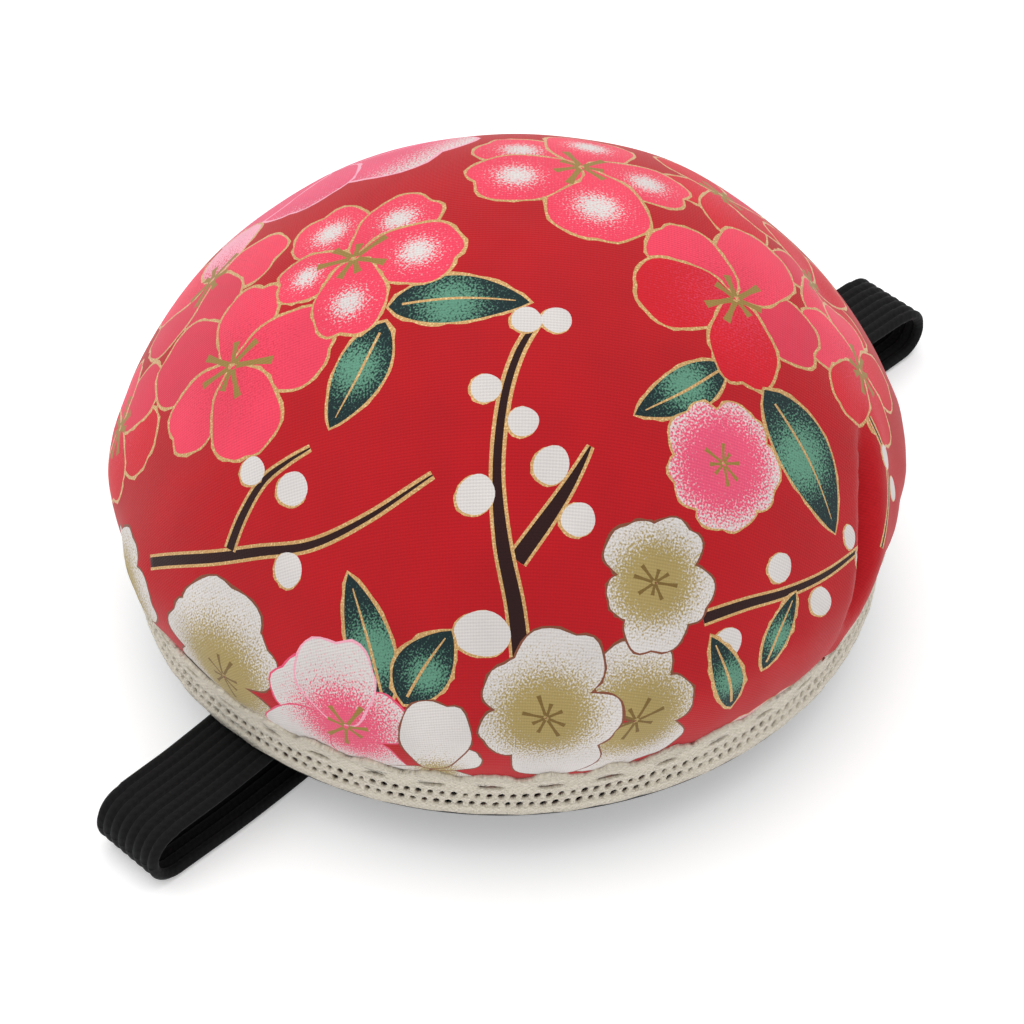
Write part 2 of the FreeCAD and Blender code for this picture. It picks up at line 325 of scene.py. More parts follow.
def flank_reach(height):
    """The cover's radius at a height between the hem and the widest place."""
    drop = min(max(WIDEST_HEIGHT - height, 0), WIDEST_HEIGHT - HEM_HEIGHT - HEM_CORNER)
    return FLANK_CENTRE + math.sqrt(FLANK_RADIUS ** 2 - drop ** 2)


FREE_LENGTH = CROWN_LENGTH + SHOULDER_LENGTH + FLANK_LENGTH
FABRIC_LENGTH = FREE_LENGTH + CORNER_LENGTH + HEM_REACH
LENGTHS = np.linspace(0.05, FABRIC_LENGTH - 0.05, 800)
OUTLINE = np.array([outline_point(length) for length in LENGTHS])

# The print is laid out on a flat plane that keeps its motifs' shapes on the cushion. PLANE_RADII
# is the distance from the plane's middle for each length down the fabric.
_steps = np.diff(LENGTHS) * 0.5 * (1 / OUTLINE[1:, 0] + 1 / OUTLINE[:-1, 0])
_growth = np.concatenate([[0], np.cumsum(_steps)])
_crown = LENGTHS < CROWN_LENGTH
_crown_radii = 2 * CROWN_RADIUS * np.tan(LENGTHS[_crown] / CROWN_RADIUS / 2)
_flank_radii = _crown_radii[-1] * np.exp(_growth[~_crown] - _growth[_crown][-1])
PLANE_RADII = np.concatenate([_crown_radii, _flank_radii])


def stretch(place):
    """Plane millimetres for each millimetre of fabric at a place on the plane."""
    radius = max(math.hypot(*place), 0.1)
    return radius / float(np.interp(radius, PLANE_RADII, OUTLINE[:, 0]))


# Dents and bulges of the stuffed cover: place on the plane, reach and height.
BUMPS = [
    ((36, -21), 5.0, -0.8),
    ((-64, 21), 9.0, 0.9),
    ((-40, 38), 12.0, 0.5),
    ((22, -40), 9.0, 0.5),
]
PLEAT = [(24, -40), (22, -46), (19.5, -53), (17, -60), (15, -68)]
PLEAT_DEPTH = 2.6
PLEAT_WIDTH = 1.0
PLEAT_LIP = 0.5                    # the ridge that stands beside the pleat
GATHER_HEIGHT = 0.35               # ripples that the gathered hem sends up the flank
LUMP_HEIGHT = 0.45
LEAN = -0.04
SETTLE = 0.985


def distance_to_path(places, path):
    """Each place's distance to a path of straight runs, and its side of it."""
    best = np.full(len(places), 1e9)
    side = np.zeros(len(places))
    for first, second in zip(path, path[1:]):
        start = np.array(first, dtype=float)
        run = np.array(second, dtype=float) - start
        offset = places - start
        along = np.clip(offset @ run / (run @ run), 0, 1)
        apart = offset - along[:, None] * run
        distance = np.hypot(apart[:, 0], apart[:, 1])
        turn = run[0] * offset[:, 1] - run[1] * offset[:, 0]
        nearer = distance < best
        best = np.where(nearer, distance, best)
        side = np.where(nearer, np.sign(turn), side)
    return best, side


def cushion_points(places, inset=0.0):
    """Points of the cover for places on the plane, moved inward by inset."""
    radius = np.hypot(places[:, 0], places[:, 1])
    angle = np.arctan2(places[:, 1], places[:, 0])
    slope = np.gradient(OUTLINE, LENGTHS, axis=0)
    length, reach, height, out, fall = (
        np.interp(radius, PLANE_RADII, column)
        for column in (LENGTHS, *OUTLINE.T, *slope.T)
    )
    swell = np.full(len(places), -inset)
    free = np.clip((FREE_LENGTH - length) / 4, 0, 1)
    scale = np.maximum(radius, 0.1) / np.maximum(reach, 0.1)
    for place, size, amount in BUMPS:
        apart = np.hypot(places[:, 0] - place[0], places[:, 1] - place[1])
        swell += amount * np.exp(-((apart / size) ** 2)) * free
    apart, side = distance_to_path(places, PLEAT)
    apart = apart / scale
    starts = np.clip((radius - 45) / 8, 0, 1)
    ends = np.clip((72 - radius) / 10, 0, 1)
    swell -= PLEAT_DEPTH * starts * ends * np.exp(-((apart / PLEAT_WIDTH) ** 2))
    swell += PLEAT_LIP * starts * (side > 0) * np.exp(-(((apart - 3) / 2) ** 2))
    gather = np.clip((length - CROWN_LENGTH + 4) / 8, 0, 1) * free
    ripple = [
        noise.noise(Vector((math.cos(turn) * 9, math.sin(turn) * 9, size * 0.05)))
        for turn, size in zip(angle, length)
    ]
    lump = [
        noise.noise(Vector((x * 0.055 + 4, y * 0.055, 2.0))) for x, y in places
    ]
    swell += GATHER_HEIGHT * gather * np.array(ripple)
    swell += LUMP_HEIGHT * np.array(lump) * free
    reach = reach + swell * -fall
    height = height + swell * out
    lifted = np.maximum(height - HEM_HEIGHT, 0)
    return np.stack([
        reach * np.cos(angle),
        reach * np.sin(angle) + LEAN * lifted,
        HEM_HEIGHT + (height - HEM_HEIGHT) * np.where(height > HEM_HEIGHT, SETTLE, 1),
    ], axis=1)


# ---- the cloth simulation

SIM_RINGS = 46
SIM_SPOKES = 112
SIM_FRAMES = 20
SIM_LIMIT = 1.4                    # how far a point may move
SIM_COTTON = {
    "quality": 6,
    "mass": 0.2,
    "tension_stiffness": 25,
    "compression_stiffness": 25,
    "shear_stiffness": 12,
    "bending_stiffness": 0.4,
    "use_pressure": True,
    "uniform_pressure_force": 4,
}


def simulation_grid():
    """Places on the plane, ring by ring, for a coarse copy of the cover."""
    lengths = np.linspace(1.0, FABRIC_LENGTH - 1, SIM_RINGS)
    radii = np.interp(lengths, LENGTHS, PLANE_RADII)
    angles = np.linspace(0, 2 * math.pi, SIM_SPOKES, endpoint=False)
    rings = [
        np.stack([radius * np.cos(angles), radius * np.sin(angles)], axis=1) for radius in radii
    ]
    return radii, np.concatenate(rings)


def simulate_cover():
    """How far the filling's pressure moves each point of the coarse cover."""
    radii, places = simulation_grid()
    start = cushion_points(places, inset=0.3)
    faces = ring_faces(SIM_RINGS, SIM_SPOKES) + [cap(0, SIM_SPOKES)]
    material = bpy.data.materials.new("proxy")
    proxy = new_piece("cover_proxy", start, faces, material)
    held = proxy.vertex_groups.new(name="held")
    first_held = int(SIM_RINGS * (FREE_LENGTH - 3) / FABRIC_LENGTH) * SIM_SPOKES
    held.add(list(range(first_held, SIM_RINGS * SIM_SPOKES)), 1.0, "REPLACE")
    cloth = proxy.modifiers.new("cloth", "CLOTH")
    for key, value in SIM_COTTON.items():
        setattr(cloth.settings, key, value)
    cloth.settings.effector_weights.gravity = 0
    cloth.settings.vertex_group_mass = "held"
    scene = bpy.context.scene
    for step in range(1, SIM_FRAMES + 1):
        scene.frame_set(step)
    graph = bpy.context.evaluated_depsgraph_get()
    moved = np.zeros(len(start) * 3)
    proxy.evaluated_get(graph).data.vertices.foreach_get("co", moved)
    scene.frame_set(1)
    bpy.data.objects.remove(proxy)
    bpy.data.materials.remove(material)
    shift = moved.reshape(-1, 3) / MM - start
    size = np.linalg.norm(shift, axis=1)[:, None]
    shift = shift * np.minimum(1, SIM_LIMIT / np.maximum(size, 1e-6))
    return radii, shift.reshape(SIM_RINGS, SIM_SPOKES, 3)


def simulated_shift(places, radii, shift):
    """The simulation's movement at any places on the plane."""
    radius = np.hypot(places[:, 0], places[:, 1])
    angle = np.arctan2(places[:, 1], places[:, 0]) % (2 * math.pi)
    ring = np.interp(radius, radii, np.arange(SIM_RINGS))
    low = np.minimum(ring.astype(int), SIM_RINGS - 2)
    part = (ring - low)[:, None]
    spoke = angle / (2 * math.pi) * SIM_SPOKES
    before = spoke.astype(int) % SIM_SPOKES
    after = (before + 1) % SIM_SPOKES
    turn = (spoke - spoke.astype(int))[:, None]
    inner = shift[low, before] * (1 - turn) + shift[low, after] * turn
    outer = shift[low + 1, before] * (1 - turn) + shift[low + 1, after] * turn
    return inner * (1 - part) + outer * part


# ---- the print

INKS = {
    "ground": linear(180, 16, 28),
    "gold": linear(196, 152, 96),
    "olive": linear(150, 122, 62),
    "stamen": linear(120, 96, 52),
    "bark": linear(44, 16, 16),
    "leaf": linear(24, 44, 46),
    "leaf_light": linear(96, 148, 124),
    "coral": linear(236, 66, 92),
    "rose": linear(214, 54, 78),
    "scarlet": linear(206, 22, 40),
    "pink": linear(228, 84, 116),
    "pale": linear(240, 168, 186),
    "white": linear(216, 210, 207),
    "straw": linear(166, 146, 92),
    "brown": linear(128, 76, 56),
}
PETAL_INKS = {"c": "coral", "r": "rose", "s": "scarlet", "p": "pale"}
GOLD_WIDTH = 0.34
layers = []


def paint(points, ink, fleck=None, run=None, metal=0.0):
    """Lays one printed shape over those before it. run gives how thickly the fleck's ink is
    sprayed over the shape's own, from 0 to 1, at places on the plane."""
    layers.append({
        "points": np.asarray(points, dtype=float),
        "ink": INKS[ink],
        "fleck": INKS[fleck or ink],
        "run": run,
        "metal": metal,
    })


def grown(points, amount, rough=0.0):
    """The outline moved outward by amount, unevenly when rough."""
    points = np.asarray(points, dtype=float)
    ahead = np.roll(points, -1, axis=0)
    behind = np.roll(points, 1, axis=0)
    along = ahead - behind
    out = np.stack([along[:, 1], -along[:, 0]], axis=1)
    out /= np.maximum(np.linalg.norm(out, axis=1), 1e-6)[:, None]
    area = np.sum(points[:, 0] * ahead[:, 1] - ahead[:, 0] * points[:, 1])
    uneven = [
        1 + rough * noise.noise(Vector((x * 2.2, y * 2.2, 0.0))) for x, y in points
    ]
    return points + out * (math.copysign(amount, area) * np.array(uneven))[:, None]


def rimmed(points, rim="gold", width=GOLD_WIDTH):
    """A shape's printed outline, painted under it."""
    width *= stretch(points[0])
    paint(grown(points, width, rough=0.9), rim, metal=1.0 if rim == "gold" else 0.0)


def petal(centre, tip, breadth, ripple=0.03):
    """The outline of a rounded petal between a flower's centre and the petal's tip."""
    centre = np.array(centre, dtype=float)
    axis = np.array(tip, dtype=float) - centre
    across = np.array([-axis[1], axis[0]])
    phase = centre[0] + tip[1]
    points = []
    for step in range(40):
        turn = 2 * math.pi * step / 40
        wave = 1 + ripple * math.sin(6 * turn + phase)
        notch = 0.05 * math.exp(-(((turn - math.pi - 0.15) / 0.2) ** 2))
        forward = 0.51 - 0.49 * math.cos(turn) * wave - notch
        aside = 0.5 * breadth * math.sin(turn) * (1 - 0.25 * math.cos(turn)) * wave
        points.append(centre + axis * forward + across * aside)
    return points


def stroke(path, widths, steps=9):
    """The outline of a brush stroke along a smooth path, with a width at each path point."""
    knots = np.array([path[0], *path, path[-1]], dtype=float)
    centres = []
    breadths = []
    for index in range(len(path) - 1):
        a, b, c, d = knots[index:index + 4]
        for step in range(steps):
            t = step / steps
            centres.append(
                0.5 * (2 * b + (c - a) * t + (2 * a - 5 * b + 4 * c - d) * t ** 2
                       + (3 * b - a - 3 * c + d) * t ** 3)
            )
            breadths.append(widths[index] * (1 - t) + widths[index + 1] * t)
    centres.append(knots[-1])
    breadths.append(widths[-1])
    centres = np.array(centres)
    along = np.gradient(centres, axis=0)
    side = np.stack([-along[:, 1], along[:, 0]], axis=1)
    side /= np.linalg.norm(side, axis=1)[:, None]
    reach = side * np.array(breadths)[:, None] / 2
    return np.concatenate([centres + reach, (centres - reach)[::-1]])


def near(place, reach, strength=1.0):
    """A spray that is thickest at place and gone by about reach."""
    middle = np.array(place, dtype=float)
    return lambda places: strength * np.exp(
        -((np.linalg.norm(places - middle, axis=1) / reach) ** 2)
    )


def towards_rim(place, start, end):
    """A spray that begins start away from place and is full by end."""
    middle = np.array(place, dtype=float)
    return lambda places: np.clip(
        (np.linalg.norm(places - middle, axis=1) - start) / (end - start), 0, 1
    )


def stamens(centre, reach, count, ink, width):
    """Short strokes that fan out from a flower's centre."""
    size = stretch(centre)
    for index in range(count):
        turn = 2 * math.pi * (index + 0.14 * math.sin(index * 2.4)) / count + centre[0]
        length = reach * (0.8 + 0.25 * math.sin(index * 1.7 + centre[1]))
        heading = np.array([math.cos(turn), math.sin(turn)])
        start = np.array(centre) + heading * 0.12 * length
        end = np.array(centre) + heading * length
        breadth = width * size
        paint(stroke([start, (start + end) / 2, end], [breadth * 0.7, breadth * 0.6, breadth]), ink)


def lone_petal(centre, tip, breadth, rim, *spray):
    """One petal with its own outline. rim is the outline's ink and width."""
    shape = petal(centre, tip, breadth)
    rimmed(shape, *rim)
    paint(shape, *spray)


def outlined_flower(centre, tips, inks="ccccc", spotted=False):
    """An outlined blossom, with a letter of PETAL_INKS for each petal. Each petal has a white
    spray in its middle if spotted, or else a rose one at its foot."""
    for tip, letter in zip(tips, inks):
        length = math.dist(centre, tip)
        middle = np.array(centre) * 0.4 + np.array(tip) * 0.6
        spray = ("rose", near(centre, length * 0.7, 0.5))
        if spotted:
            spray = ("white", near(middle, length * 0.19, 0.9))
        lone_petal(centre, tip, 0.74, ("gold",), PETAL_INKS[letter], *spray)
    stamens(centre, 0.36 * math.dist(centre, tips[0]), 7, "olive", 0.95)


def soft_flower(centre, tips, ink, fleck, run, rim="brown", breadth=0.98, heart="stamen"):
    """A blossom whose petals run together inside one outline."""
    shapes = [petal(centre, tip, breadth) for tip in tips]
    for shape in shapes:
        rimmed(shape, rim, 0.22)
    for shape in shapes:
        paint(shape, ink, fleck, run)
    if heart:
        stamens(centre, 0.36 * math.dist(centre, tips[0]), 8, heart, 0.45)


def snow_flower(centre, tips):
    """A white blossom sprayed with gold at its heart."""
    reach = 0.72 * math.dist(centre, tips[0])
    soft_flower(centre, tips, "white", "straw", near(centre, reach, 1.25), breadth=0.88)


def pink_flower(centre, tips):
    """A pink blossom sprayed with white towards its rim."""
    size = math.dist(centre, tips[0])
    soft_flower(
        centre, tips, "pink", "white", towards_rim(centre, size * 0.45, size * 1.35),
        rim="gold", heart="olive",
    )


def pale_flower(centre, tips):
    """A pale pink blossom without a heart."""
    size = math.dist(centre, tips[0])
    spray = towards_rim(centre, size * 0.6, size * 1.15)
    for tip in tips:
        lone_petal(centre, tip, 0.8, ("pale",), "pink", "white", spray)


def leaf(base, tip, breadth, bend=0.0):
    """A pointed leaf with a gold edge and vein."""
    start = np.array(base, dtype=float)
    axis = np.array(tip, dtype=float) - start
    across = np.array([-axis[1], axis[0]]) / np.linalg.norm(axis)
    half = []
    for step in range(17):
        part = step / 16
        bow = bend * 4 * part * (1 - part)
        wide = breadth * math.sin(math.pi * part ** 0.85) ** 0.8
        half.append((start + axis * part, bow, wide))
    upper = [spot + across * (bow + wide) for spot, bow, wide in half]
    lower = [spot + across * (bow - wide) for spot, bow, wide in half[-2:0:-1]]
    shape = np.array(upper + lower)
    rimmed(shape)
    middle = start + axis * 0.45 + across * (bend - breadth * 0.25)
    paint(shape, "leaf", "leaf_light", near(middle, 0.26 * np.linalg.norm(axis), 0.85))
    vein = [start + axis * part + across * bend * 4 * part * (1 - part) for part in (0.1, 0.5, 0.9)]
    width = 0.28 * stretch(base)
    paint(stroke(vein, [width, width, width * 0.4]), "gold", metal=1.0)


def branch(path, widths):
    """A dark twig between two gold lines."""
    scaled = [0.85 * width * stretch(place) for width, place in zip(widths, path)]
    edge = 1.7 * GOLD_WIDTH * stretch(path[0])
    paint(grown(stroke(path, [width + edge for width in scaled]), 0.01, 0.5), "gold", metal=1.0)
    paint(stroke(path, scaled), "bark")


def bud(centre, wide, tall=None, turn=0.0):
    """A round white bud with a gold line along one side."""
    size = 0.86 * stretch(centre)
    tall = tall or wide
    shape = []
    for step in range(26):
        angle = 2 * math.pi * step / 26
        x = wide * size * math.cos(angle) * (1 + 0.04 * math.sin(3 * angle + centre[0]))
        y = tall * size * math.sin(angle)
        shape.append((
            centre[0] + x * math.cos(turn) - y * math.sin(turn),
            centre[1] + x * math.sin(turn) + y * math.cos(turn),
        ))
    edge = np.array(shape) + np.array([-0.22, 0.05]) * size
    paint(grown(edge, 0.12 * size, rough=1.5), "gold", metal=1.0)
    paint(shape, "white")


def round_flower(kind, centre, radius, turn):
    """A regular blossom of that kind, radius millimetres on the fabric."""
    reach = radius * stretch(centre)
    tips = [
        (
            centre[0] + reach * math.cos(turn + index * 0.4 * math.pi),
            centre[1] + reach * math.sin(turn + index * 0.4 * math.pi),
        )
        for index in range(5)
    ]
    kind(centre, tips)


def coral_flower(centre, tips):
    outlined_flower(centre, tips, spotted=True)


def scarlet_flower(centre, tips):
    outlined_flower(centre, tips, "scsrc")


def paint_far_side():
    """The side that the photograph doesn't show, filled with more of the same print."""
    for place, length, turn in (
        ((44, 6), 14, 0.4), ((58, 40), 15, 2.4), ((22, 62), 15, 1.0), ((-6, 66), 13, 3.6),
        ((66, -8), 14, 1.7), ((38, 58), 13, 5.2),
    ):
        reach = length * stretch(place)
        tip = (place[0] + reach * math.cos(turn), place[1] + reach * math.sin(turn))
        leaf(place, tip, 2.6 * stretch(place), 0.6)
    branch([(34, 12), (42, 22), (50, 28), (62, 30), (74, 26)], [0.8, 1.1, 1.4, 1.6, 1.8])
    branch([(50, 28), (52, 38), (48, 47)], [1.2, 0.9, 0.5])
    branch([(-24, 58), (-14, 56), (-4, 58), (8, 56)], [1.4, 1.2, 0.9, 0.5])
    for kind, place, radius, turn in (
        (coral_flower, (33, 32), 9, 0.4),
        (scarlet_flower, (57, 14), 8.5, 1.0),
        (coral_flower, (22, 47), 8, 2.0),
        (pink_flower, (4, 60), 6, 0.8),
        (snow_flower, (56, 52), 6.5, 1.4),
        (snow_flower, (66, 44), 6, 0.2),
        (pink_flower, (74, 10), 6, 0.5),
        (snow_flower, (10, 76), 7, 0.9),
        (coral_flower, (34, 72), 7.5, 1.9),
        (snow_flower, (-32, 68), 7, 0.4),
        (scarlet_flower, (62, -34), 7.5, 0.1),
        (pink_flower, (-50, 52), 6, 2.2),
    ):
        round_flower(kind, place, radius, turn)
    for place in ((40, 26), (45, 20), (55, 27), (63, 34), (50, 42), (-10, 60), (-18, 53), (0, 54)):
        bud(place, 1.7)


def paint_near_side():
    """The print as the photograph shows it."""
    pale_flower((5, 37), [(9, 17.5), (-7, 28), (20, 31), (10, 53), (-11, 44)])
    for centre, tips, inks in (
        ((-19, 33), [(-14, 22), (-26, 23), (-31, 38), (-21, 47), (-9, 39)], "crrcp"),
        ((-42, 37), [(-43, 24), (-33, 30), (-33, 45), (-47, 50), (-53, 34)], "srcss"),
        ((30, -4), [(21, -3), (23, -13), (35, -13), (41, -1), (32, 6)], "sssrs"),
        ((34, -19), [(26, -17), (27, -28), (38, -30), (45, -18), (37, -9)], "rcsss"),
    ):
        outlined_flower(centre, tips, inks)
    coral_flower((14.5, 4.5), [(11, 16), (25, 12), (22, -5), (6.5, -7), (2.5, 8.5)])
    leaf((-15, 2.5), (-5.5, -8), 2.9, 0.3)
    leaf((-16.5, 1.5), (-29, -1.5), 2.9, 0.3)
    leaf((7, -25.5), (-6, -24.3), 2.5, 0.5)
    tips = [(-32, 31), (-41, 19), (-19, 20.5), (-21, 5), (-36.5, 5)]
    outlined_flower((-29, 15.5), tips, "rcccc")
    coral_flower((-12, 11), [(-8.5, 22), (-19, 17), (-1, 11), (-5.5, 1.5), (-20, 4)])
    tips = [(36, -23), (42, -36), (22, -25), (30.5, -44), (21, -36.5)]
    outlined_flower((31, -33), tips, "cscss")
    tips = [(22, -29), (27, -14), (12.5, -8), (4, -13.5), (8, -29)]
    outlined_flower((14.5, -19.5), tips, "rccss")
    leaf((10, -30), (11.5, -50.5), 4.2, 0.6)
    tips = [(-1.5, -27), (6.5, -31.5), (5, -40.5), (-4.5, -41.5), (-7.5, -33.5)]
    pink_flower((-0.5, -34.5), tips)

    for path, widths in (
        ([(-57, 16), (-51, 5), (-46, -2), (-41, -8), (-34, -12), (-26, -14.5)],
         [1.2, 1.2, 1.1, 0.9, 0.6, 0.2]),
        ([(-48, 2), (-43.5, 2.3), (-38.5, 2), (-35, 0.6), (-32, -1)], [1.1, 1.0, 0.8, 0.5, 0.2]),
        ([(-26.5, -28), (-21.5, -27), (-17.5, -26), (-14.5, -25), (-12, -24)],
         [1.9, 1.7, 1.3, 0.8, 0.2]),
        ([(-35, -38), (-30.5, -32), (-26.3, -25.5), (-21.3, -19.5), (-15.5, -14.5),
          (-10.5, -11.5), (-6, -10)], [1.9, 1.7, 1.5, 1.0, 0.9, 0.8, 0.5]),
        ([(-13, -49), (-7, -51), (0, -53.5), (8, -55), (17, -55)], [1.3, 1.1, 0.9, 0.7, 0.3]),
        ([(27, -39), (27.5, -45), (26, -51), (22, -57)], [0.3, 0.3, 0.3, 0.3]),
    ):
        branch(path, widths)
    for place in ((-5, -11.3), (-7.2, -9.3), (-15.5, -12), (-15.4, -17.3), (0.2, -49.8)):
        bud(place, 1.75)
    for place, *size in (
        ((-16.5, -22.8), 2.3, 2.0, 0.5), ((-24.5, -19.5), 2.4, 2.1, 0.3), ((-18.3, -29.3), 1.95),
        ((-35.7, -31.6), 2.7, 3.2, 0.6), ((-38, 4), 1.7), ((-37, -2), 2.0),
        ((-45.5, -7), 2.1, 1.8, 0.5), ((5.6, -58.4), 1.6, 2.1, 0.6), ((14.5, -52.4), 1.1, 1.5),
        ((16.5, -56.5), 1.1, 1.5), ((29.5, -50), 1.1, 1.5), ((28, -45), 1.1, 1.5),
        ((-11.5, -54.5), 1.9), ((-14, -48.5), 0.1),
    ):
        bud(place, *size)
    snow_flower((-66, 26), [(-55, 24), (-63, 15), (-58, 34), (-77, 22), (-72, 34)])
    snow_flower((-68, -3), [(-62, 10), (-52, 1), (-56, -9), (-79, -14), (-80, 8)])
    leaf((-53, -29), (-41, -14), 3.1, -0.4)
    leaf((-50.5, -30.5), (-38, -28.5), 3.8, 0.3)
    pink = (-61, -26)
    for tip in ((-59, -12), (-79, -18), (-73, -38), (-52, -32)):
        lone_petal(pink, tip, 0.85, ("pink", 0.2), "pink", "white", towards_rim(pink, 3, 14))
    blush = near((-60, -25), 7.5)
    lone_petal(pink, (-49.5, -16.5), 0.8, ("pale", 0.2), "white", "pink", blush)
    stamens(pink, 5.5, 7, "olive", 0.6)
    heart = near((-61, -44), 5, 0.9)
    for tip, breadth in (
        ((-72, -40), 0.7), ((-64, -55), 0.7), ((-50.5, -45), 0.6), ((-46.5, -34), 0.62),
    ):
        lone_petal((-61, -43), tip, breadth, ("brown", 0.16), "white", "straw", heart)
    for centre, tips in (
        ((-28.5, -56), [(-22.5, -45), (-19, -58), (-30, -70), (-41, -66)]),
        ((-38, -46.5), [(-37.5, -36), (-27.5, -38.5), (-31, -55.5), (-46, -61), (-48, -44)]),
        ((-15.8, -41), [(-15.2, -33), (-8.5, -37.5), (-11.3, -48), (-20.8, -49), (-22, -39.5)]),
    ):
        snow_flower(centre, tips)
    leaf((-14.2, -67), (-13.2, -52), 2.4, -0.3)
    leaf((-7.6, -62.5), (1.4, -54.4), 2.2, 0.2)
    pink_flower((-8, -86), [(-4, -75), (4, -80), (-17, -77), (-8, -96)])


# ---- the cover

WEAVE_PITCH = 0.46
CLOTH_GRID = 0.95                  # millimetres between the cover's plain points


def plain_places():
    """Evenly spread places on the plane."""
    places = []
    for length in np.arange(CLOTH_GRID, FABRIC_LENGTH, CLOTH_GRID):
        radius = float(np.interp(length, LENGTHS, PLANE_RADII))
        reach = float(np.interp(length, LENGTHS, OUTLINE[:, 0]))
        count = max(6, round(2 * math.pi * reach / CLOTH_GRID))
        offset = length * 1.7
        angles = offset + np.linspace(0, 2 * math.pi, count, endpoint=False)
        ring = np.stack([radius * np.cos(angles), radius * np.sin(angles)], axis=1)
        places.append(ring)
    return np.concatenate(places)


def cotton_material():
    material, tree, shader = new_material("printed_cotton")
    flat = attribute(tree, "flat")
    run = attribute(tree, "run", "Fac")
    metal = attribute(tree, "metal", "Fac")
    grain = remapped(tree, noise_value(tree, flat, 4.2, 1.0), 0.3, 0.7)
    spray = maths(tree, "SUBTRACT", maths(tree, "MULTIPLY", run, 1.35), grain)
    speck = remapped(tree, spray, -0.12, 0.45)
    inks = (attribute(tree, name, "Color") for name in ("ink", "fleck"))
    colour = blended(tree, speck, *inks)
    split = node(tree, "SeparateXYZ", {0: flat})
    across, along = (
        maths(tree, "MULTIPLY", split.outputs[axis], 2 * math.pi / WEAVE_PITCH) for axis in (0, 1)
    )
    warp = maths(tree, "SINE", maths(tree, "ADD", across, along))
    weft = maths(tree, "SINE", maths(tree, "SUBTRACT", across, along))
    weave = plus(tree, maths(tree, "MULTIPLY", warp, 0.65), weft, 0.35)
    fibre = noise_value(tree, flat, 9.0, 2.0)
    height = plus(tree, remapped(tree, weave, -1, 1, 0, 0.7), fibre, 0.5)
    patch = noise_value(tree, flat, 0.12, 3.0)
    # Painted shade darkens the weave's low places and a slight painted highlight lightens its raised
    # threads; the slow patches vary the tone at random.
    furrow_shade = remapped(tree, height, 0.1, 1.1, 0.8, 1.08)
    furrow_shade_and_patches = maths(tree, "MULTIPLY", furrow_shade, remapped(tree, patch, 0.3, 0.7, 0.93, 1.05))
    shade_and_patch_grey = node(tree, "CombineColor", {0: furrow_shade_and_patches, 1: furrow_shade_and_patches, 2: furrow_shade_and_patches}).outputs[0]
    colour = blended(tree, 1.0, colour, shade_and_patch_grey, "MULTIPLY")
    glint = remapped(tree, noise_value(tree, flat, 4.5, 1.0), 0.5, 0.7)
    bright = blended(tree, glint, colour, linear(236, 206, 150))
    colour = blended(tree, maths(tree, "MULTIPLY", metal, 0.8), colour, bright)
    connect(
        tree, shader,
        Base_Color=colour,
        Metallic=maths(tree, "MULTIPLY", metal, 0.25),
        Roughness=remapped(tree, metal, 0, 1, 0.82, 0.5),
        Normal=bumped(tree, height, 0.05, 0.55),
        Sheen_Weight=0.12,
        Sheen_Roughness=0.5,
        Specular_IOR_Level=0.25,
    )
    return material


def holds(outline, places):
    """Which places lie inside a closed outline."""
    inside = np.zeros(len(places), dtype=bool)
    for (x, y), (next_x, next_y) in zip(outline, np.roll(outline, -1, axis=0)):
        spans = (y > places[:, 1]) != (next_y > places[:, 1])
        if y != next_y:
            crossing = x + (places[:, 1] - y) / (next_y - y) * (next_x - x)
            inside ^= spans & (places[:, 0] < crossing)
    return inside


def print_triangles():
    """The plane cut into triangles along every printed shape's edge, with the shape on top of
    each triangle."""
    plain = plain_places()
    limit = math.hypot(*plain[-1]) - 0.4
    corners = [plain]
    edges = []
    start = len(plain)
    for layer in layers:
        points = layer["points"]
        radii = np.hypot(points[:, 0], points[:, 1])
        layer["points"] = points * np.minimum(1, limit / radii)[:, None]
        corners.append(layer["points"])
        count = len(points)
        edges += [(start + step, start + (step + 1) % count) for step in range(count)]
        start += count
    corners = [Vector(point) for point in np.concatenate(corners)]
    found = delaunay_2d_cdt(corners, edges, [], 0, 1e-4, False)
    places = np.array([tuple(point) for point in found[0]])
    faces = np.array(found[2])
    centres = places[faces].mean(axis=1)
    owners = np.full(len(faces), -1)
    for index, layer in enumerate(layers):
        low = layer["points"].min(axis=0)
        high = layer["points"].max(axis=0)
        near_by = np.nonzero(((centres > low) & (centres < high)).all(axis=1))[0]
        owners[near_by[holds(layer["points"], centres[near_by])]] = index
    return places, faces, owners


def add_cover(material, sim):
    places, faces, owners = print_triangles()
    points = cushion_points(places) + simulated_shift(places, *sim)
    cover = new_piece("cushion_cover", points, faces.tolist(), material, "cushion")
    radius = np.hypot(places[:, 0], places[:, 1])
    length = np.interp(radius, PLANE_RADII, LENGTHS)
    flat = places * (length / np.maximum(radius, 1e-6))[:, None]
    set_values(cover, "flat", "FLOAT_VECTOR", "POINT", np.pad(flat, ((0, 0), (0, 1))))
    set_uv(cover, flat / 200 + 0.5)
    corner_places = places[faces]
    ink = np.full((len(faces), 3, 4), INKS["ground"])
    fleck = ink.copy()
    run = np.zeros((len(faces), 3))
    metal = np.zeros((len(faces), 3))
    for index, layer in enumerate(layers):
        mine = owners == index
        ink[mine] = layer["ink"]
        fleck[mine] = layer["fleck"]
        metal[mine] = layer["metal"]
        if layer["run"]:
            run[mine] = layer["run"](corner_places[mine].reshape(-1, 2)).reshape(-1, 3)
    set_values(cover, "ink", "FLOAT_COLOR", "CORNER", ink)
    set_values(cover, "fleck", "FLOAT_COLOR", "CORNER", fleck)
    set_values(cover, "run", "FLOAT", "CORNER", run)
    set_values(cover, "metal", "FLOAT", "CORNER", metal)
    thicken(cover, 0.4)
    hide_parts("cover")


# ---- what is inside and under it

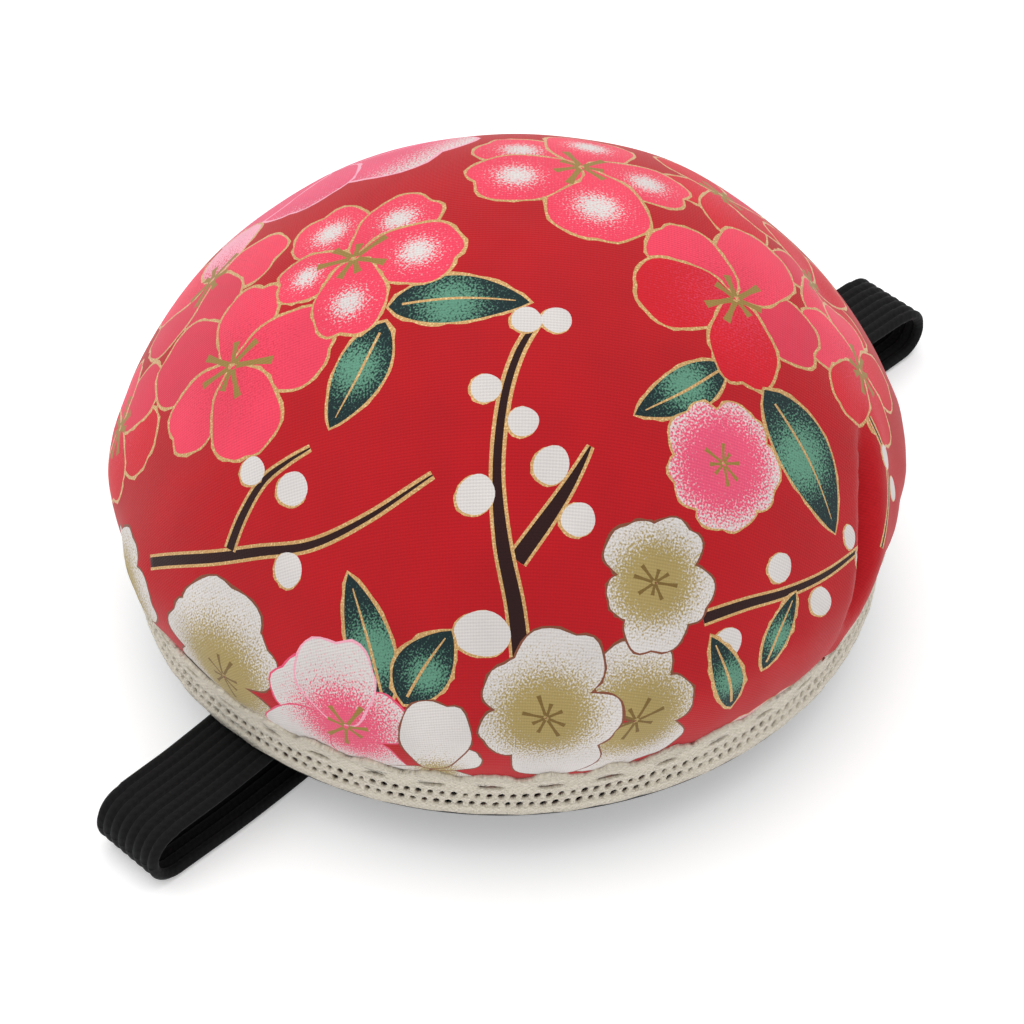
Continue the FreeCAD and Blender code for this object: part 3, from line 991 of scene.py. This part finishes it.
def filling_material():
    material, tree, shader = new_material("polyester_filling")
    place = node(tree, "TexCoord").outputs["Object"]
    strands = noise_value(tree, place, 900, 6.0)
    tone = blended(tree, strands, linear(222, 220, 214), linear(246, 245, 242))
    connect(
        tree, shader, Base_Color=tone, Roughness=0.95, Sheen_Weight=0.4,
        Normal=bumped(tree, strands, 0.8, 0.9),
    )
    return material


def add_stuffing(sim):
    """Fibre filling that fills the cover down to the stiff disc."""
    _, places = simulation_grid()
    floor = size_of("stuffing")[0][2]
    points = cushion_points(places, inset=1.1) + sim[1].reshape(-1, 3)
    rings = sum(points[ring * SIM_SPOKES:(ring + 1) * SIM_SPOKES, 2].min() > floor + 0.4
                for ring in range(SIM_RINGS))
    points = points[:rings * SIM_SPOKES]
    foot = points[-SIM_SPOKES:] * np.array([0.995, 0.995, 0]) + np.array([0, 0, floor])
    points = np.concatenate([points, foot])
    faces = ring_faces(rings + 1, SIM_SPOKES) + [cap(0, SIM_SPOKES)]
    faces.append(cap(rings * SIM_SPOKES, SIM_SPOKES)[::-1])
    filling = new_piece("fibre_filling", points, faces, filling_material(), "cushion")
    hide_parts("stuffing")


def moulded_material(name, tone, roughness, scale, depth):
    """Plastic, thread or glue: a finish with a fine grain and slight colour changes."""
    material, tree, shader = new_material(name)
    place = node(tree, "TexCoord").outputs["Object"]
    grain = noise_value(tree, place, scale, 4.0)
    patches = noise_value(tree, place, scale / 12, 2.0)
    darker = tuple(value * 0.8 for value in tone[:3]) + (1.0,)
    connect(
        tree, shader,
        Base_Color=blended(tree, patches, darker, tone),
        Roughness=remapped(tree, grain, 0.3, 0.7, roughness - 0.08, roughness + 0.08),
        Normal=bumped(tree, grain, depth, 0.5),
    )
    return material


def finish_cad_nodes():
    """Better materials on the CAD nodes whose shapes are right already."""
    for name, material in (
        ("base_plate", moulded_material("black_plastic", linear(26, 26, 28), 0.45, 2500, 0.03)),
        ("needle_stop_disc", moulded_material("white_plastic", linear(226, 226, 222), 0.4, 1500, 0.02)),
        ("gathering_thread", moulded_material("red_thread", linear(176, 28, 36), 0.85, 6000, 0.08)),
        ("glue_ring", moulded_material("hot_glue", linear(222, 214, 186), 0.3, 400, 0.3)),
    ):
        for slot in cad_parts[name].material_slots:
            slot.material = material


STITCH_CORNERS = 9
STITCH_ROWS = 3.6                  # from the lap's middle to each row
STITCH_SWING = 0.9
STITCH_MARGIN = 0.8
STITCH_RADIUS = 0.16
STITCH_DIP = 0.15                  # how far each stitch's ends sink into the elastic
STITCH_RISE = 0.25


def add_stitching():
    """Two zigzag rows of thread across the lap, each stitch dipping into the elastic."""
    height = size_of("join_stitching")[0][2] - STITCH_DIP
    reach = (STRAP_WIDTH - 2 * STITCH_MARGIN) / 2
    points = []
    faces = []
    for row in (-STITCH_ROWS, STITCH_ROWS):
        corners = np.array([
            (row + (STITCH_SWING if turn % 2 else -STITCH_SWING),
             -reach + 2 * reach * turn / (STITCH_CORNERS - 1))
            for turn in range(STITCH_CORNERS)
        ])
        path = []
        for first, second in zip(corners, corners[1:]):
            for part in np.arange(8) / 8:
                rise = abs(math.sin(math.pi * part)) ** 0.5 * STITCH_RISE
                path.append((*(first + (second - first) * part), height + rise))
        add_tube(points, faces, np.array(path), STITCH_RADIUS)
    material = moulded_material("black_thread", linear(30, 30, 32), 0.8, 6000, 0.08)
    stitches = new_piece("join_thread", points, faces, material, "band_over_end")
    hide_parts("join_stitching")


def add_tube(points, faces, path, radius, sides=8):
    """Adds a closed round tube along a path that runs mostly level."""
    along = np.gradient(path, axis=0)
    along /= np.linalg.norm(along, axis=1)[:, None]
    aside = np.cross(along, (0.0, 0.0, 1.0))
    aside /= np.linalg.norm(aside, axis=1)[:, None]
    above = np.cross(aside, along)
    start = len(points)
    for centre, right, up in zip(path, aside, above):
        for side in range(sides):
            turn = 2 * math.pi * side / sides
            points.append(centre + (right * math.cos(turn) + up * math.sin(turn)) * radius)
    faces += ring_faces(len(path), sides, start, outward=True)
    faces.append(cap(start, sides)[::-1])
    faces.append(cap(start + (len(path) - 1) * sides, sides))


# ---- lace

LACE_REPEATS = 42
LACE_RADIUS = 39.15                # of the ribbon's inner face
LACE_BEAD = 0.7


def lace_outline(turns, width):
    """The ribbon's edges: a plain lower one, and an upper one with a picot at each repeat."""
    lower = [(step / 4, 0.06 * math.sin(step * 1.9)) for step in range(int(turns * 4) + 1)]
    upper = []
    for step in range(int(turns * 12) + 1):
        place = step / 12
        peak = abs(math.cos(math.pi * place)) ** 1.6
        tooth = 0.16 * math.sin(step * 2.2) + 0.12 * math.sin(step * 0.9)
        upper.append((place, width - 1.45 + 1.3 * peak + tooth))
    return lower + upper[::-1]


def lace_holes(turns):
    """Outlines of the slits under the picots and of the two rows of eyelets."""
    holes = []
    draw = random.Random(5)
    for repeat in range(int(turns)):
        slit_size = draw.uniform(0.75, 1.1)
        holes.append(oval((repeat + 1.0, 3.95), 0.24 * slit_size, 0.26 * slit_size, 0.09))
        for column in range(5):
            for row in (0, 1):
                place = repeat + (column + 0.5 * row + 0.3) / 5
                size = draw.uniform(0.75, 1.15)
                holes.append(oval((place, 1.45 + 1.2 * row), 0.062 * size, 0.42 * size, 0.03))
    return holes


def oval(centre, wide, tall, lean):
    """A small oval hole, wide in repeats and tall in millimetres."""
    shape = []
    for step in range(8):
        turn = 2 * math.pi * step / 8
        rise = tall * math.sin(turn)
        shape.append((centre[0] + wide * math.cos(turn) + lean * rise, centre[1] + rise))
    return shape


def lace_material():
    material, tree, shader = new_material("cream_lace")
    flat = attribute(tree, "flat")
    knots = noise_value(tree, flat, 2.2, 3.0)
    fuzz = noise_value(tree, flat, 7.0, 3.0)
    split = node(tree, "SeparateXYZ", {0: flat})
    cord = maths(tree, "SINE", maths(tree, "MULTIPLY", split.outputs[1], 2 * math.pi / 0.55))
    loops = maths(tree, "SINE", maths(tree, "MULTIPLY", split.outputs[0], 2 * math.pi / 0.65))
    height = plus(tree, maths(tree, "MULTIPLY", knots, 0.6), fuzz, 0.5)
    height = plus(tree, height, maths(tree, "MULTIPLY", cord, loops), 0.12)
    # Painted shade: the lace is darker where its height is low, in the hollows between knots and cords.
    tone = blended(tree, remapped(tree, height, 0.3, 0.8), linear(200, 190, 170), linear(*CREAM))
    connect(
        tree, shader, Base_Color=tone, Roughness=0.92, Normal=bumped(tree, height, 0.4, 0.9),
        Sheen_Weight=0.3, Specular_IOR_Level=0.15,
    )
    return material


def add_lace(material):
    """An openwork ribbon round the rim, its ends lapped at the back."""
    width = LACE_HIGH[2] - LACE_LOW[2]
    pitch = 2 * math.pi * LACE_RADIUS / LACE_REPEATS
    turns = LACE_REPEATS + 1
    edge = lace_outline(turns, width)
    grid = [
        (step * 0.1, row * LACE_BEAD)
        for step in range(1, turns * 10)
        for row in range(1, int((width - 1.2) / LACE_BEAD))
    ]
    corners = list(edge) + grid
    shapes = [list(range(len(edge)))]
    for hole in lace_holes(turns - 1):
        shapes.append(list(range(len(corners), len(corners) + len(hole))))
        corners += hole
    found = delaunay_2d_cdt([Vector(place) for place in corners], [], shapes, 0, 1e-5, True)
    faces = [face for face, inside in zip(found[2], found[5]) if list(inside) == [0]]
    places = np.array([tuple(point) for point in found[0]])
    used = sorted({corner for face in faces for corner in face})
    index = {old: new for new, old in enumerate(used)}
    faces = [tuple(index[corner] for corner in face) for face in faces]
    places = places[used]
    points = []
    for along, height in places:
        turn = math.radians(95) + 2 * math.pi * along / LACE_REPEATS
        lap = 0.75 * max(0.0, along - LACE_REPEATS + 1.2)
        fluff = 0.12 * noise.noise(Vector((along * 5, height * 1.3, 0)))
        wave = 0.14 * noise.noise(Vector((math.cos(turn) * 3, math.sin(turn) * 3, 1)))
        slack = min(lap, 0.7) + fluff + wave
        lift = 0.2 * noise.noise(Vector((math.cos(turn) * 4, math.sin(turn) * 4, 5)))
        reach = max(LACE_RADIUS, flank_reach(LACE_LOW[2] + height)) + 0.3 + slack
        points.append((
            reach * math.cos(turn), reach * math.sin(turn),
            LACE_LOW[2] + height + lift * height / width,
        ))
    lace = new_piece("lace_ribbon", points, faces, material, "cushion")
    flat = places * np.array([pitch, 1.0])
    set_values(lace, "flat", "FLOAT_VECTOR", "POINT", np.pad(flat, ((0, 0), (0, 1))))
    set_uv(lace, flat / 250)
    thicken(lace, 0.5, 0.0)
    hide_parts("lace_trim")


# ---- strap

STRAP_WIDTH = 9.6
STRAP_HALF = 0.6
STRAP_RIBS = 8
TOP_RUN = 6.2
LOWER_RUN = 0.6
SLOT_X = 24.0
FOLD_CENTRE = 53.0
FOLD_RADIUS = (TOP_RUN - LOWER_RUN) / 2
BRIDGE_HEIGHT = 9.9
SLOT_BEND = 1.4
TOP_ARCH = 0.5                     # how far the top run bows up before the fold
LAP_END = -6.0
LAP_CLIMB = 1.35                   # from the lower run up onto the other end
TOP_CUTS = (32.0, 45.0)            # where each run is divided into pieces
LOWER_CUTS = (44.2, 21.5)
# Each piece's name, and where its bend starts and ends.
BENDS = [
    ("slot_bend", (24.0, 8.6), (27.5, 6.2)),
    ("top", (34.0, 6.2), (44.0, 6.2)),
    ("fold_upper", (46.5, 6.2), (55.8, 4.6)),
    ("fold_lower", (55.8, 2.2), (46.5, 0.6)),
    ("run", (41.0, 0.6), (24.0, 0.6)),
    ("end", (20.0, 0.6), (9.5, 0.6)),
]
# The photographed loop has slid through its slots and hangs a little to one side: how far each
# side's fold has moved along X and along Y.
SLIDES = {1: 4.4, -1: 0.9}
DRIFTS = {1: -2.2, -1: -1.8}


def strap_section():
    """The ribbed outline across the strap, as (across, out) pairs."""
    outline = []
    steps = STRAP_RIBS * 6
    for face in (1, -1):
        for step in range(steps + 1):
            part = step / steps
            across = (part - 0.5) * face * (STRAP_WIDTH - 0.5)
            rib = abs(math.sin(math.pi * STRAP_RIBS * part)) ** 0.6
            edge = min(1.0, 14 * part + 0.35, 14 * (1 - part) + 0.35)
            outline.append((across, face * (STRAP_HALF - 0.32 + 0.32 * rib) * edge))
    return outline


def eased(value, low, high):
    part = min(max((value - low) / (high - low), 0.0), 1.0)
    return part * part * (3 - 2 * part)


def slid(side, x, z):
    """Where a place on the middle line lies in the photographed loop."""
    moved = eased(x, 27, 48) if z > TOP_RUN - FOLD_RADIUS else eased(x, 10, 48)
    return side * x + SLIDES[side] * moved, DRIFTS[side] * moved, z


def side_path(side, lapped):
    """The middle line of one side of the strap, from the bridge over the plate to its end."""
    path = [(SLOT_X, BRIDGE_HEIGHT - step * 0.5) for step in range(5)]
    for step in range(1, 9):
        turn = math.pi / 2 * step / 8
        path.append((
            SLOT_X + SLOT_BEND * (1 - math.cos(turn)),
            TOP_RUN + SLOT_BEND * (1 - math.sin(turn)),
        ))
    for x in np.arange(SLOT_X + 2, FOLD_CENTRE - 0.4, 0.5):
        arch = TOP_ARCH * math.sin(math.pi * (x - SLOT_X) / (FOLD_CENTRE - SLOT_X + 4))
        path.append((float(x), TOP_RUN + arch * eased(x, 34, 46)))
    for step in range(25):
        turn = math.pi / 2 - math.pi * step / 24
        path.append((
            FOLD_CENTRE + FOLD_RADIUS * math.cos(turn),
            TOP_RUN - FOLD_RADIUS + FOLD_RADIUS * math.sin(turn),
        ))
    for x in np.arange(FOLD_CENTRE - 0.5, LAP_END - 0.1, -0.5):
        climb = LAP_CLIMB * (1 - eased(x, 6.4, 9.2)) if lapped else 0.0
        path.append((float(x), LOWER_RUN + climb))
    return path, [slid(side, x, z) for x, z in path]


def elastic_material():
    material, tree, shader = new_material("black_elastic")
    flat = attribute(tree, "flat")
    split = node(tree, "SeparateXYZ", {0: flat})
    along = maths(tree, "MULTIPLY", split.outputs[1], 2 * math.pi / 0.8)
    rib = maths(tree, "MULTIPLY", split.outputs[0], 2 * math.pi * STRAP_RIBS / STRAP_WIDTH)
    plait = maths(tree, "SINE", plus(tree, along, maths(tree, "SINE", rib), 1.4))
    fibre = noise_value(tree, flat, 6.0, 3.0)
    height = plus(tree, remapped(tree, plait, -1, 1, 0, 0.35), fibre, 0.6)
    # Painted highlight and shade: the plait's raised threads are lighter and its grooves darker.
    tone = blended(tree, height, linear(5, 5, 6), linear(24, 24, 26))
    connect(
        tree, shader, Base_Color=tone, Roughness=0.8, Normal=bumped(tree, height, 0.08, 0.6),
        Sheen_Weight=0.03, Specular_IOR_Level=0.2,
    )
    return material


def sweep(name, centres, material, start_length, closed=(False, False)):
    """The strap's section carried along a path, with the length so far for its pattern."""
    section = strap_section()
    around = len(section)
    centres = np.array(centres)
    along = np.gradient(centres, axis=0)
    along /= np.linalg.norm(along, axis=1)[:, None]
    out = np.cross(along, (0.0, 1.0, 0.0))
    out /= np.linalg.norm(out, axis=1)[:, None]
    aside = np.cross(out, along)
    steps = np.linalg.norm(np.diff(centres, axis=0), axis=1)
    lengths = start_length + np.concatenate([[0], np.cumsum(steps)])
    points = []
    flat = []
    for centre, right, up, length in zip(centres, aside, out, lengths):
        for across, rise in section:
            points.append(centre + right * across + up * rise)
            flat.append((across, length, 0))
    faces = ring_faces(len(centres), around, outward=True)
    if closed[0]:
        faces.append(cap(0, around)[::-1])
    if closed[1]:
        faces.append(cap((len(centres) - 1) * around, around))
    piece = new_piece(name, points, faces, material)
    set_values(piece, "flat", "FLOAT_VECTOR", "POINT", flat)
    set_uv(piece, np.array(flat) / 400 + 0.3)
    return piece


def add_strap_side(name, side, end_body, material):
    """Six pieces, each from the middle of one CAD segment to the middle of the next."""
    path, placed = side_path(side, lapped=side < 0)
    reaches = [x for x, _ in path]
    tip = FOLD_CENTRE + FOLD_RADIUS - 1e-6
    folded = next(i for i, x in enumerate(reaches) if x >= tip)
    cuts = [0]
    cuts += [next(i for i in range(folded) if reaches[i] >= cut) for cut in TOP_CUTS]
    cuts.append(folded)
    cuts += [next(i for i in range(folded, len(path)) if reaches[i] <= cut) for cut in LOWER_CUTS]
    cuts.append(len(path) - 1)
    segments = ("top_inner", "top_outer", "fold", "run_outer", "run_inner")
    bodies = ["cushion", *(f"band_{name}_{segment}" for segment in segments), end_body]
    length = 0.0
    for index, (word, start, end) in enumerate(BENDS):
        first, last = cuts[index], cuts[index + 1]
        centres = placed[first:last + 1]
        closed = (False, word == "end")
        piece = sweep(f"strap_{name}_{word}", centres, material, length, closed)
        length += float(np.linalg.norm(np.diff(np.array(centres), axis=0), axis=1).sum())
        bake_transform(piece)
        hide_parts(bodies[index + 1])


def add_bridge(material):
    """The strap's hidden run over the plate, between the two slots."""
    centres = [(float(x), 0.0, BRIDGE_HEIGHT) for x in np.arange(-SLOT_X, SLOT_X + 0.1, 1.0)]
    bridge = sweep("strap_bridge", centres, material, 0.0, (True, True))
    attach(bridge, "cushion")
    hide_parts("band_bridge")


# ---- build

def main():
    add_camera()
    add_stage()
    paint_far_side()
    paint_near_side()
    sim = simulate_cover()
    add_cover(cotton_material(), sim)
    add_stuffing(sim)
    finish_cad_nodes()
    add_lace(lace_material())
    elastic = elastic_material()
    add_bridge(elastic)
    add_strap_side("right", 1, "band_under_end", elastic)
    add_strap_side("left", -1, "band_over_end", elastic)
    add_stitching()


main()
